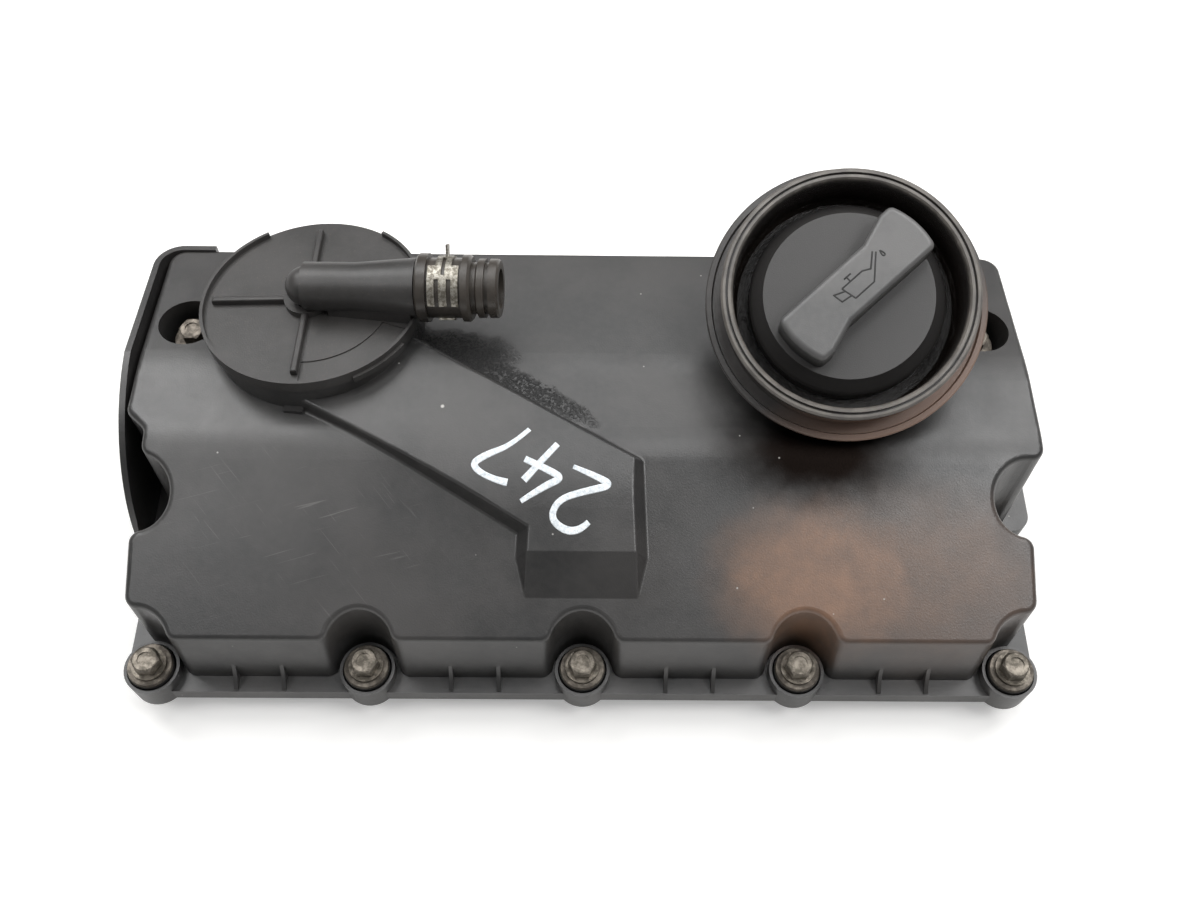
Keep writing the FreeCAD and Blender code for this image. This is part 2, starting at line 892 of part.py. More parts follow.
def separator_plate():
    top = separator_z + separator_t
    plate = prism(separator_outline, separator_z, top)
    drain = at(rod(drain_r, separator_z - drain_h, separator_z + 1), drain_x, drain_y)
    plate = joined([plate, drain])
    cuts = [at(rod(drain_bore_r, -HIGH, HIGH), drain_x, drain_y)]
    for x in inlet_x:
        cuts.append(box(x, x + inlet_w, inlet_y, inlet_y + inlet_l, 0, HIGH))
    return plate.cut(joined(cuts))


def vent_cap():
    """Cap of the breather valve, with its ribs and the nozzle moulded on."""
    disc = rod(vent_cap_r, -vent_cap_t, 0)
    bulged = sector(vent_cap_r + cap_bulge, cap_bulge_start, cap_bulge_end, -vent_cap_t, 0)
    disc = disc.fuse(bulged)
    rim = tube(vent_cap_r, vent_cap_r - vent_rim_w, -vent_cap_t, vent_rim_h)
    rim = rim.cut(sector(vent_cap_r + 1, rim_gap_start, rim_gap_end, 0, HIGH))
    bead_top = vent_ledge + diaphragm_bead
    skirt_r = vent_wall_r - vent_wall - 2 * fit_gap
    skirt = tube(skirt_r, skirt_r - 2, bead_top, -1)
    stem = rod(stem_r, stem_end, 0)
    ribs = []
    for angle in (90, 180, 270):
        rib = box(0, rib_reach, -rib_w / 2, rib_w / 2, -1, rib_h)
        rib = rib.makeFillet(rib_edge_r, [edge for edge in rib.Edges if edge.BoundBox.ZMin > 0])
        ribs.append(at(spun(rib, angle), hub_x, 0))
    hub = at(rod(hub_r, -1, hub_h), hub_x, 0)
    body = joined([disc, rim, skirt, stem, hub] + ribs)
    recess = sector(vent_cap_r - vent_rim_w, step_start, step_end, -step_depth, HIGH)
    recess = recess.cut(rod(step_r, -HIGH, HIGH))
    body = body.cut(recess)
    barrel = turned([(0, 0), (nozzle_r, 0), (nozzle_end_r, nozzle_len), (0, nozzle_len)])
    ball = Part.makeSphere(nozzle_r)
    spigot = rod(spigot_r, 0, nozzle_len + spigot_len)
    nozzle = placed(joined([barrel, ball, spigot]), VENT.inverse().multiply(NOZZLE))
    clearance = rod(2 * FAR, -FAR, -vent_cap_t)
    web_end = vent_cap_r - vent_rim_w
    web = [
        (nozzle_web_start, -nozzle_web_w), (web_end, -nozzle_web_end_w),
        (web_end, nozzle_web_end_w), (nozzle_web_start, nozzle_web_w),
    ]
    web = at(spun(prism(web, -1, nozzle_h), nozzle_turn), nozzle_start, nozzle_y)
    body = joined([body, nozzle.cut(clearance), web.common(rod(web_end, -1, HIGH))])
    bore = placed(rod(nozzle_bore_r, 0, FAR / 2), VENT.inverse().multiply(NOZZLE))
    down = rod(stem_bore_r, stem_end - 1, nozzle_h)
    body = body.cut(joined([bore, down]))
    groove_z = nozzle_len + spigot_len / 2
    groove = tube(spigot_r + 1, spigot_r - 1.7, groove_z - 1.1, groove_z + 1.1)
    body = body.cut(placed(groove, VENT.inverse().multiply(NOZZLE)))
    return placed(body.removeSplitter(), VENT)


def vent_diaphragm():
    """Rolling diaphragm: outer bead on the housing ledge, fold, inner bead."""
    outer = vent_wall_r - vent_wall - 2 * fit_gap
    web_r = outer - 3.4
    inner = plate_r + 0.2
    seat = vent_ledge
    low = stem_end - plate_drop - plate_t
    t = diaphragm_t
    fold = low + diaphragm_fold
    profile = [
        (inner, low), (inner + 2.4, low), (inner + 6, fold), (web_r - 4, fold + 1),
        (web_r, seat + 0.4), (web_r, seat), (outer, seat), (outer, seat + diaphragm_bead),
        (web_r, seat + diaphragm_bead), (web_r - 4.5, fold + 1 + t), (inner + 5.5, fold + t),
        (inner + 1.8, low + plate_t), (inner, low + plate_t),
    ]
    return placed(turned(profile), VENT)


def diaphragm_plate():
    top = stem_end - plate_drop
    plate = rod(plate_r, top - plate_t, top)
    boss = rod(stem_bore_r - 1.2, top - 1, top + 1.6)
    return placed(joined([plate, boss]), VENT)


def vent_spring():
    """Coil spring between the valve cap and the diaphragm plate."""
    low = stem_end - plate_drop + spring_wire / 2 + 0.05
    high = -vent_cap_t - spring_wire / 2 - 0.05
    path = Part.makeHelix((high - low) / spring_turns, high - low, spring_r)
    path.translate(V(0, 0, low))
    start = V(spring_r, 0, low)
    ring = Part.Wire(Part.Circle(start, V(0, 1, 0), spring_wire / 2).toShape())
    coil = Part.Wire(path.Edges).makePipeShell([ring], True, True)
    return placed(coil, VENT)


def breather_coupling():
    """Hose coupling on the nozzle's spigot, with two lips at its mouth."""
    z = nozzle_len + coupling_gap
    end = z + coupling_len
    bore = spigot_r + fit_gap
    step = nozzle_len + spigot_len + 0.4
    profile = [(bore, z), (coupling_ring_r - 0.8, z), (coupling_ring_r, z + 0.8)]
    z += coupling_ring_w
    profile += [(coupling_ring_r, z), (coupling_waist_r, z)]
    z += coupling_waist_w
    profile += [(coupling_waist_r, z), (coupling_collar_r, z)]
    z += coupling_collar_w
    profile += [(coupling_collar_r, z - 1), (coupling_collar_r - 1, z), (lip_neck_r, z)]
    z += lip_neck_w
    profile += [(lip_neck_r, z), (lip_end_r, z + 0.8), (lip_end_r, z + lip_end_w)]
    z += lip_end_w
    profile += [(lip_neck_r, z), (lip_neck_r, z + lip_neck_w)]
    z += lip_neck_w
    profile += [(lip_end_r, z), (lip_end_r, end - 0.8), (lip_end_r - 0.8, end)]
    profile += [(mouth_r, end), (mouth_r, step), (bore, step)]
    return placed(turned(profile), NOZZLE)


def coupling_o_ring():
    centre = nozzle_len + spigot_len / 2
    r = spigot_r + fit_gap / 2 - o_ring_wire
    return placed(Part.makeTorus(r, o_ring_wire, V(0, 0, centre)), NOZZLE)


def coupling_clip():
    """Sprung steel clip in the coupling's waist: split band, slotted plate and an ear."""
    z0 = nozzle_len + coupling_gap + coupling_ring_w
    middle = z0 + coupling_waist_w / 2
    r0 = coupling_waist_r + fit_gap
    r1 = r0 + clip_t

    def piece(width, start, end, centre):
        low, high = centre - width / 2, centre + width / 2
        return sector(r1, start, end, low, high).cut(rod(r0, low - 1, high + 1))

    band = piece(clip_w, clip_start, clip_end, middle)
    plate = piece(clip_plate_w, clip_plate_start, clip_end, middle)
    ear = box(r0, r1 + clip_ear_h, -clip_ear_w / 2, clip_ear_w / 2, middle, middle + clip_t)
    body = joined([band, plate, spun(ear, clip_ear_angle)])
    slit = sector(2 * r1, clip_slit_start, clip_slit_end, 0, clip_slit_w)
    cuts = [at(slit, 0, 0, middle - clip_slit_w / 2)]
    for side in (-1, 1):
        slot = sector(2 * r1, clip_slot_start, clip_end + 1, 0, clip_slot_w)
        cuts.append(at(slot, 0, 0, middle + side * clip_slot_offset - clip_slot_w / 2))
    return placed(body.cut(joined(cuts)), NOZZLE)


def filler_collar():
    """Drip collar on the neck, with a grooved double lip and a lower flange."""
    sleeve_r_in = neck_r + fit_gap
    sleeve_r_out = neck_r + collar_wall
    floor_under = collar_floor - collar_wall
    barrel = lip_r + collar_wall
    middle = (lip_r + lip_outer_r) / 2
    half = lip_groove_w / 2
    depth = -lip_groove_depth
    profile = [
        (sleeve_r_in, collar_sleeve_end), (sleeve_r_out, collar_sleeve_end),
        (sleeve_r_out, floor_under), (barrel - 2.4, floor_under), (barrel - 0.6, floor_under + 2),
        (barrel - 0.2, collar_flange - 3.4), (collar_flange_r - 1.0, collar_flange - 2.6),
        (collar_flange_r, collar_flange - 1.4), (collar_flange_r, collar_flange + 0.4),
        (collar_flange_r - 0.5, collar_flange + 0.9),
        (collar_flange_r - gutter_rim, collar_flange + 0.9),
        (collar_flange_r - gutter_rim - 0.6, collar_flange + 0.9 - gutter_depth),
        (barrel + 1.0, collar_flange + 0.9 - gutter_depth), (barrel, collar_flange + 1.0),
        (barrel + 0.4, -5.0), (lip_outer_r, -2.6), (lip_outer_r, -0.8), (lip_outer_r - 0.8, 0),
        (middle + half, 0), (middle + half, depth), (middle - half, depth), (middle - half, 0),
        (lip_r + 0.7, 0), (lip_r, -0.8), (lip_r - 0.5, -3.0), (lip_r - 0.9, collar_floor + 2),
        (lip_r - 2.6, collar_floor), (sleeve_r_out, collar_floor), (sleeve_r_out, neck_rim - 1.4),
        (sleeve_r_in, neck_rim - 1.4),
    ]
    return placed(turned(profile), COLLAR)


def grip_bar():
    """Bar across the cap, flared at opposite corners of its ends."""
    far = 2 * grip_reach
    w = grip_half_w
    f = grip_flare_w
    near_s = grip_reach * 0.36
    far_s = grip_reach * 0.74
    half = [(-far, w), (near_s, w), (far_s, f), (far, f)]
    other = [(-s, -t) for s, t in half]
    points = list(reversed(half)) + list(reversed(other))
    bar = prism(points, cap_face - 1, grip_top).common(rod(grip_reach, -HIGH, HIGH))
    upright = []
    for edge in bar.Edges:
        if edge.BoundBox.ZLength > grip_top and edge.CenterOfMass.Length > grip_reach - 2:
            upright.append(edge)
    bar = bar.makeFillet(grip_corner_r, upright)
    edges = [edge for edge in bar.Edges if edge.BoundBox.ZMin > grip_top - 0.01]
    bar = spun(bar.makeFillet(grip_edge_r, edges), grip_angle)
    return at(bar, grip_shift_x, grip_shift_y)


def filler_cap():
    """Screw cap with a skirt and a grip bar, hollow underneath."""
    under = cap_face - cap_wall
    profile = [
        (0, under), (cap_face_r - 1.4, under), (cap_skirt_r - cap_wall, cap_shoulder),
        (cap_skirt_r - cap_wall, cap_skirt_end), (cap_skirt_r, cap_skirt_end),
        (cap_skirt_r, cap_shoulder), (cap_skirt_r - 0.8, cap_shoulder + 1.4),
        (cap_face_r + 0.4, cap_face - 1.6), (cap_face_r - 0.8, cap_face), (0, cap_face),
    ]
    return placed(joined([turned(profile), grip_bar()]), COLLAR)


def cap_insert():
    """Stem under the cap, with its sealing plate and three locking lugs."""
    seat = neck_rim + cap_seal_h
    plate_top = seat + cap_wall
    under = cap_face - cap_wall
    inner = insert_r - cap_wall
    profile = [
        (inner, insert_end), (insert_r, insert_end), (insert_r, seat), (insert_plate_r, seat),
        (insert_plate_r, plate_top), (insert_hub_r, plate_top), (insert_hub_r, under),
        (insert_hub_r - cap_wall, under), (insert_hub_r - cap_wall, plate_top),
        (0, plate_top), (0, seat), (inner, seat),
    ]
    shapes = [turned(profile)]
    for i in range(lugs):
        lug = sector(insert_r + lug_h, 0, lug_span, insert_end + 1, insert_end + 1 + lug_w)
        lug = lug.cut(rod(insert_r - 1, -HIGH, HIGH))
        shapes.append(spun(lug, i * 360 / lugs))
    return placed(joined(shapes), COLLAR)


def cap_seal():
    ring = tube(cap_seal_r, insert_r + 0.3, neck_rim, neck_rim + cap_seal_h)
    return placed(ring, COLLAR)


def head_rise():
    """Height of the underside of a bolt's washer above the sealing plane."""
    return cup_floor_z + grommet_h


def bolt(rise):
    """Flanged hexagon bolt whose head stands rise above those in the cups."""
    seat = head_rise() + washer_h + rise
    shank = turned([
        (0, bolt_tip_z), (bolt_r - bolt_tip_chamfer, bolt_tip_z),
        (bolt_r, bolt_tip_z + bolt_tip_chamfer), (bolt_r, bolt_thread_top),
        (bolt_waist_r, bolt_thread_top + bolt_r - bolt_waist_r),
        (bolt_waist_r, seat + 0.5), (0, seat + 0.5),
    ])
    flange = rod(bolt_flange_r, seat, seat + bolt_flange_h)
    corner_r = hex_af / 2 / math.cos(math.radians(30))
    z0 = seat + bolt_flange_h
    z1 = z0 + hex_h
    sides = prism([(polar(corner_r, a).x, polar(corner_r, a).y) for a in range(0, 360, 60)], z0, z1)
    bevel = turned([
        (0, z0), (corner_r + 1, z0), (corner_r + 1, z1 - 1.0),
        (hex_af / 2 - 0.3, z1), (0, z1),
    ])
    dimple = rod(hex_af * 0.3, z1 - 0.5, z1 + 1)
    return joined([shank, flange, sides.common(bevel)]).cut(dimple)


def in_each_cup(make):
    """One copy for each bolt, the rear corner ones raised to their pockets."""
    shapes = [at(make(), x, y) for x, y in flange_bolt_places()]
    shapes += [at(make(), x, y, pocket_bolt_rise) for x, y in pocket_bolt_places()]
    return Part.makeCompound(shapes)


def flange_bolts():
    return Part.makeCompound([at(bolt(0.0), x, y) for x, y in flange_bolt_places()])


def pocket_bolts():
    return Part.makeCompound([at(bolt(pocket_bolt_rise), x, y) for x, y in pocket_bolt_places()])


def washer():
    z = head_rise()
    return turned([
        (washer_bore_r, z), (washer_r, z), (washer_r, z + washer_h - 0.4),
        (washer_r - 0.4, z + washer_h), (washer_bore_r, z + washer_h),
    ])


def grommet():
    """Rubber bush: a neck through the cup's floor and a waisted body above it."""
    bore = sleeve_r + fit_gap
    neck = cup_hole_r - fit_gap
    top = head_rise()
    return turned([
        (bore, foot_gap), (neck, foot_gap), (neck, cup_floor_z), (grommet_r, cup_floor_z),
        (grommet_r, cup_floor_z + 3.2), (grommet_waist_r, cup_floor_z + 4.4),
        (grommet_waist_r, top - 3.0), (grommet_r - 0.3, top - 2.0), (grommet_r - 0.3, top),
        (bore, top),
    ])


def sleeve():
    return tube(sleeve_r, sleeve_r - sleeve_wall, foot_gap, head_rise())


NODES = {
    "cover_shell": cover_shell,
    "filler_neck": filler_neck,
    "cover_gasket": cover_gasket,
    "separator_plate": separator_plate,
    "vent_cap": vent_cap,
    "vent_diaphragm": vent_diaphragm,
    "diaphragm_plate": diaphragm_plate,
    "vent_spring": vent_spring,
    "breather_coupling": breather_coupling,
    "coupling_o_ring": coupling_o_ring,
    "coupling_clip": coupling_clip,
    "filler_collar": filler_collar,
    "filler_cap": filler_cap,
    "cap_insert": cap_insert,
    "cap_seal": cap_seal,
    "flange_bolts": flange_bolts,
    "pocket_bolts": pocket_bolts,
    "bolt_washers": lambda: in_each_cup(washer),
    "bolt_grommets": lambda: in_each_cup(grommet),
    "bolt_sleeves": lambda: in_each_cup(sleeve),
}

os.makedirs("parts", exist_ok=True)
for name, make in NODES.items():
    shape = make()
    print(name, "valid" if shape.isValid() else "NOT VALID", len(shape.Solids), round(shape.Volume))
    shape.exportStep("parts/" + name + ".step")
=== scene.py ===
import json
import math

import bmesh
import bpy
from mathutils import Matrix, Vector
from mathutils.bvhtree import BVHTree


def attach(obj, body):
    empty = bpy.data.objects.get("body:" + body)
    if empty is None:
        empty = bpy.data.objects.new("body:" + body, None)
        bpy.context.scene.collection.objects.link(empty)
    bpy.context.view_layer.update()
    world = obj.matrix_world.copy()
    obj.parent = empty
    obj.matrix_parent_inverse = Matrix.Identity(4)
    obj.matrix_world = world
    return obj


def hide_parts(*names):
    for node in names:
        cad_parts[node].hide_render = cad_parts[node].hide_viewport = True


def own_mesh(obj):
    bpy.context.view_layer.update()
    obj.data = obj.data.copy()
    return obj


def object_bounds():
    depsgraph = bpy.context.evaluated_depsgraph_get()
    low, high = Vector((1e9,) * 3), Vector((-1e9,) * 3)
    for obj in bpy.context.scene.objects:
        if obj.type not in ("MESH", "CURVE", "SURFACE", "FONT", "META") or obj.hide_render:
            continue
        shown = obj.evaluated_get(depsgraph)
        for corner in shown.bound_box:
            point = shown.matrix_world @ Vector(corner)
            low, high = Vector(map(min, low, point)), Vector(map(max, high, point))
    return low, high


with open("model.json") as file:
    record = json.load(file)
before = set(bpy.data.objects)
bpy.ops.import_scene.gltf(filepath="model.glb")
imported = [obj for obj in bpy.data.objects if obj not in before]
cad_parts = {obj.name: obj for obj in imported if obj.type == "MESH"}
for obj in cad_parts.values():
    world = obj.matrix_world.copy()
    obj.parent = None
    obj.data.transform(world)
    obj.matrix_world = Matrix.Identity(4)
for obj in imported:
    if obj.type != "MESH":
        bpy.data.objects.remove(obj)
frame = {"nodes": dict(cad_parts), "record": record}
cad_low, cad_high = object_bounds()
nodes = frame["nodes"]
MM = 0.001

# The cover itself: one injection moulding in black glass-filled nylon, dulled by years of
# heat. The grain of the mould gives it a satin sheen that goes pale under a wide light.


def linear(hex_colour):
    """sRGB hex to the linear colour that a shader socket takes."""
    channels = [int(hex_colour[i:i + 2], 16) / 255 for i in (1, 3, 5)]
    curve = [c / 12.92 if c <= 0.04045 else ((c + 0.055) / 1.055) ** 2.4 for c in channels]
    return (*curve, 1.0)


def add(tree, kind, sockets=None, out=0, **settings):
    """Adds a node with its settings, links its sockets or sets them, and gives one output.

    Sockets go by name or number: 1 to 4 of a Map Range are its from and to ranges, and 0 of
    a Mix is its factor, with 2 and 3 as the two values or 6 and 7 as the two colours.
    """
    made = tree.nodes.new(kind)
    for name, value in settings.items():
        setattr(made, name, value)
    for name, value in (sockets or {}).items():
        if isinstance(value, bpy.types.NodeSocket):
            tree.links.new(value, made.inputs[name])
        else:
            made.inputs[name].default_value = value
    return made.outputs[out]


def start_material(name):
    """A new node material with its tree, its shader and the object's coordinates."""
    material = bpy.data.materials.new(name)
    material.use_nodes = True
    tree = material.node_tree
    shader = tree.nodes["Principled BSDF"]
    place = add(tree, "ShaderNodeTexCoord", out="Object")
    return material, tree, shader, place


def finish_material(tree, shader, tone, gloss, normal):
    """Links what varies over the surface to the shader."""
    tree.links.new(tone, shader.inputs["Base Color"])
    tree.links.new(gloss, shader.inputs["Roughness"])
    tree.links.new(normal, shader.inputs["Normal"])


def wear(node, material):
    """Gives a CAD node its material."""
    for slot in nodes[node].material_slots:
        slot.material = material


def moulded_nylon(tree, place, dark, light, rough, grain_mm):
    """Tone, gloss and grain of black nylon as moulded, with cloudy paler patches.

    The grain is drawn coarser than the mould's own, which would be too fine to show.
    """
    cloud = add(tree, "ShaderNodeTexNoise",
                {"Vector": place, "Scale": 1 / (55 * MM), "Detail": 5.0, "Roughness": 0.6})
    cloud = add(tree, "ShaderNodeMapRange", {"Value": cloud, 1: 0.35, 2: 0.65, 3: 0.0, 4: 0.7},
                interpolation_type="SMOOTHSTEP")
    mottle = add(tree, "ShaderNodeTexNoise", {"Vector": place, "Scale": 1 / (3 * MM), "Detail": 3.0})
    mottle = add(tree, "ShaderNodeMapRange", {"Value": mottle, 1: 0.35, 2: 0.7, 3: 0.0, 4: 0.22},
                 interpolation_type="SMOOTHSTEP")
    tone = add(tree, "ShaderNodeMix", {0: cloud, 6: linear(dark), 7: linear(light)}, 2, data_type="RGBA")
    tone = add(tree, "ShaderNodeMix", {0: mottle, 6: tone, 7: linear(light)}, 2, data_type="RGBA")
    gloss = add(tree, "ShaderNodeTexNoise",
                {"Vector": place, "Scale": 1 / (22 * MM), "Detail": 5.0, "Roughness": 0.65})
    gloss = add(tree, "ShaderNodeMapRange", {"Value": gloss, 1: 0.3, 2: 0.7, 3: rough[0], 4: rough[1]})
    grain = add(tree, "ShaderNodeTexNoise",
                {"Vector": place, "Scale": 1 / (grain_mm * MM), "Detail": 2.0})
    grain = add(tree, "ShaderNodeBump", {"Height": grain, "Distance": 0.05 * MM})
    return tone, gloss, grain


aged_nylon_ior = 1.65
cover_nylon, tree, shader, place = start_material("glass_filled_nylon_moulded")
shader.inputs["IOR"].default_value = aged_nylon_ior
tone, gloss, grain = moulded_nylon(tree, place, "#292929", "#403e3d", (0.32, 0.43), 0.7)

# What years in an engine bay left on the cover, and light painted over it: a brown oil film
# at the filler end, painted paler as a sheen that spreads to the right, oil soaked in below the
# collar, painted near black as the collar's shadow and dark reflection there, black grit behind
# the duct, pale flecks with one larger splash, and scratches at the front left, which are drawn
# wider than real ones so that they show.


def stain(tree, place, centre_mm, reach_mm, ragged_mm, turn=0.0, core=0.35):
    """1 in the core round a point, fading to 0 at its reach, with a ragged edge.

    The core is a share of the reach, and the turn is in degrees about the vertical.
    """
    wobble = add(tree, "ShaderNodeTexNoise", {"Vector": place, "Scale": 1 / (ragged_mm * MM)}, "Color")
    push = ragged_mm * MM
    moved = add(tree, "ShaderNodeVectorMath", {0: wobble, 1: (push, push, push), 2: place},
                operation="MULTIPLY_ADD")
    centred = add(tree, "ShaderNodeMapping", {
        "Vector": moved,
        "Location": [c * MM + push / 2 for c in centre_mm],
        "Rotation": (0, 0, math.radians(turn)),
        "Scale": [r * MM for r in reach_mm],
    }, vector_type="TEXTURE")
    length = add(tree, "ShaderNodeVectorMath", {0: centred}, "Value", operation="LENGTH")
    return add(tree, "ShaderNodeMapRange", {"Value": length, 1: core, 2: 1.0, 3: 1.0, 4: 0.0},
               interpolation_type="SMOOTHSTEP")


smears = add(tree, "ShaderNodeTexNoise",
             {"Vector": place, "Scale": 1 / (17 * MM), "Detail": 5.0, "Roughness": 0.7})
smears = add(tree, "ShaderNodeMapRange", {"Value": smears, 1: 0.3, 2: 0.62, 3: 0.5, 4: 0.95})
# Painted sheen: the film's light brown is paler than oil alone and stands in for the sheen on it. The
# thinner haze carries that painted sheen further to the right.
film_and_sheen = stain(tree, place, (95, -71, 48), (54, 38, 60), ragged_mm=15)
thin_film_and_sheen = stain(tree, place, (138, -70, 48), (66, 46, 60), ragged_mm=24, core=0.2)
thin_film_and_sheen = add(tree, "ShaderNodeMath", {0: thin_film_and_sheen, 1: 0.5}, operation="MULTIPLY")
film_and_sheen = add(tree, "ShaderNodeMath", {0: film_and_sheen, 1: thin_film_and_sheen}, operation="MAXIMUM")
film_and_sheen = add(tree, "ShaderNodeMath", {0: film_and_sheen, 1: smears}, operation="MULTIPLY")
# Painted shade: the patch below the collar is oil soaked in, and it is also painted near black for the
# collar's shadow and dark reflection there.
oil_and_collar_shade = stain(tree, place, (93, -25, 66), (56, 29, 32), ragged_mm=9, turn=-4, core=0.25)

grit = add(tree, "ShaderNodeTexNoise",
           {"Vector": place, "Scale": 1 / (1.3 * MM), "Detail": 4.0, "Roughness": 0.7})
grit = add(tree, "ShaderNodeMapRange", {"Value": grit, 1: 0.46, 2: 0.53, 3: 0.25, 4: 1.0})
edge_grit = stain(tree, place, (-30, 7.5, 70), (48, 7, 16), ragged_mm=6, turn=-30, core=0.5)
hose_grit = stain(tree, place, (-52, 24, 70), (30, 12, 20), ragged_mm=9, turn=-14, core=0.5)
edge_grit = add(tree, "ShaderNodeMath", {0: edge_grit, 1: hose_grit}, operation="MAXIMUM")
edge_grit = add(tree, "ShaderNodeMath", {0: edge_grit, 1: grit}, operation="MULTIPLY")

scratched = stain(tree, place, (-118, -58, 56), (80, 44, 40), ragged_mm=25)
scratch_long = 24 * MM
scratch_wide = 0.9 * MM
for scratch_turn in (14, -48):
    streaks = add(tree, "ShaderNodeMapping", {
        "Vector": place, "Rotation": (0, 0, math.radians(scratch_turn)),
        "Scale": (scratch_long, scratch_wide, scratch_long),
    }, vector_type="TEXTURE")
    streaks = add(tree, "ShaderNodeTexNoise",
                  {"Vector": streaks, "Scale": 1.0, "Detail": 1.0, "Distortion": 0.7})
    streaks = add(tree, "ShaderNodeMapRange", {"Value": streaks, 1: 0.7, 2: 0.78, 3: 0.0, 4: 0.22})
    streaks = add(tree, "ShaderNodeMath", {0: scratched, 1: streaks}, operation="MULTIPLY")
    tone = add(tree, "ShaderNodeMix", {0: streaks, 6: tone, 7: linear("#8a8885")}, 2, data_type="RGBA")

fleck_cell = 15 * MM
flecks = add(tree, "ShaderNodeTexVoronoi", {"Vector": place, "Scale": 1 / fleck_cell}, "Distance")
flecks = add(tree, "ShaderNodeMapRange", {"Value": flecks, 1: 0.015, 2: 0.03, 3: 0.6, 4: 0.0})
splash = stain(tree, place, (-57.0, -8.9, 77.4), (1.5, 1.5, 3.0), ragged_mm=0.4, core=0.7)
flecks = add(tree, "ShaderNodeMath", {0: flecks, 1: splash}, operation="MAXIMUM")

for mask, colour, sheen in (
    (film_and_sheen, "#7d5f4b", 0.40),
    (oil_and_collar_shade, "#14100e", 0.4),
    (edge_grit, "#0b0b0b", 0.75),
    (flecks, "#c4c2bd", 0.7),
):
    tone = add(tree, "ShaderNodeMix", {0: mask, 6: tone, 7: linear(colour)}, 2, data_type="RGBA")
    gloss = add(tree, "ShaderNodeMix", {0: mask, 2: gloss, 3: sheen}, 0, data_type="FLOAT")
# Oily dirt has hardly any sheen, and this patch is also painted shade, for the collar's shadow and dark
# reflection: metallic with a near-black colour only takes the sheen off.
tree.links.new(oil_and_collar_shade, shader.inputs["Metallic"])
crust = add(tree, "ShaderNodeBump", {"Height": edge_grit, "Distance": 0.5 * MM, "Normal": grain})
finish_material(tree, shader, tone, gloss, crust)
wear("cover_shell", cover_nylon)

# Filler neck and the parts inside: the same nylon, unmarked. The neck is welded into the
# cover, the separator plate under it, the others sit under the valve and the filler cap.
nylon_ior = 1.53
inner_nylon, tree, shader, place = start_material("glass_filled_nylon_inner")
shader.inputs["IOR"].default_value = nylon_ior
finish_material(tree, shader, *moulded_nylon(tree, place, "#2a2a2a", "#3a3a3a", (0.4, 0.5), 0.7))
for node in ("filler_neck", "separator_plate", "diaphragm_plate", "cap_insert"):
    wear(node, inner_nylon)

# Seals: the ring in the flange, the cap's flat seal, the coupling's O-ring, the diaphragm
# and the bolt grommets, all moulded in nitrile rubber. It is matt, with a grey bloom, and
# its pores are drawn coarser than real ones so that they show.
seal_rubber, tree, shader, place = start_material("nitrile_rubber_moulded")
shader.inputs["IOR"].default_value = 1.52
bloom = add(tree, "ShaderNodeTexNoise",
            {"Vector": place, "Scale": 1 / (6 * MM), "Detail": 5.0, "Roughness": 0.65})
bloom = add(tree, "ShaderNodeMapRange", {"Value": bloom, 1: 0.45, 2: 0.75, 3: 0.0, 4: 0.5})
tone = add(tree, "ShaderNodeMix",
           {0: bloom, 6: linear("#191919"), 7: linear("#33312f")}, 2, data_type="RGBA")
gloss = add(tree, "ShaderNodeMapRange", {"Value": bloom, 3: 0.55, 4: 0.7})
pores = add(tree, "ShaderNodeTexNoise", {"Vector": place, "Scale": 1 / (0.8 * MM), "Detail": 2.0})
pores = add(tree, "ShaderNodeBump", {"Height": pores, "Distance": 0.05 * MM})
finish_material(tree, shader, tone, gloss, pores)
for node in ("cover_gasket", "cap_seal", "coupling_o_ring", "vent_diaphragm", "bolt_grommets"):
    wear(node, seal_rubber)

# Bolts, sleeves and washers: cold-headed and pressed steel with a phosphate coat, browned
# by heat and oil film. The bolts have a rolled thread of 1 mm pitch below the flange, and
# the two in the pockets are as dull as the washers.


def tarnished_steel(name, dark, light, rough, blotch_mm):
    """Steel whose coat has gone blotchy, with its tree, its shader and what varies over it.

    The pits in the coat are drawn coarser than real ones so that they show.
    """
    material, tree, shader, place = start_material(name)
    shader.inputs["Metallic"].default_value = 0.8
    blotch = add(tree, "ShaderNodeTexNoise",
                 {"Vector": place, "Scale": 1 / (blotch_mm * MM), "Detail": 5.0, "Roughness": 0.7})
    blotch = add(tree, "ShaderNodeMapRange", {"Value": blotch, 1: 0.38, 2: 0.66, 3: 0.0, 4: 1.0},
                 interpolation_type="SMOOTHSTEP")
    tone = add(tree, "ShaderNodeMix",
               {0: blotch, 6: linear(dark), 7: linear(light)}, 2, data_type="RGBA")
    gloss = add(tree, "ShaderNodeMapRange", {"Value": blotch, 3: rough + 0.1, 4: rough - 0.06})
    pits = add(tree, "ShaderNodeTexNoise", {"Vector": place, "Scale": 1 / (0.6 * MM), "Detail": 3.0})
    pits = add(tree, "ShaderNodeBump", {"Height": pits, "Distance": 0.04 * MM})
    return material, tree, shader, tone, gloss, pits


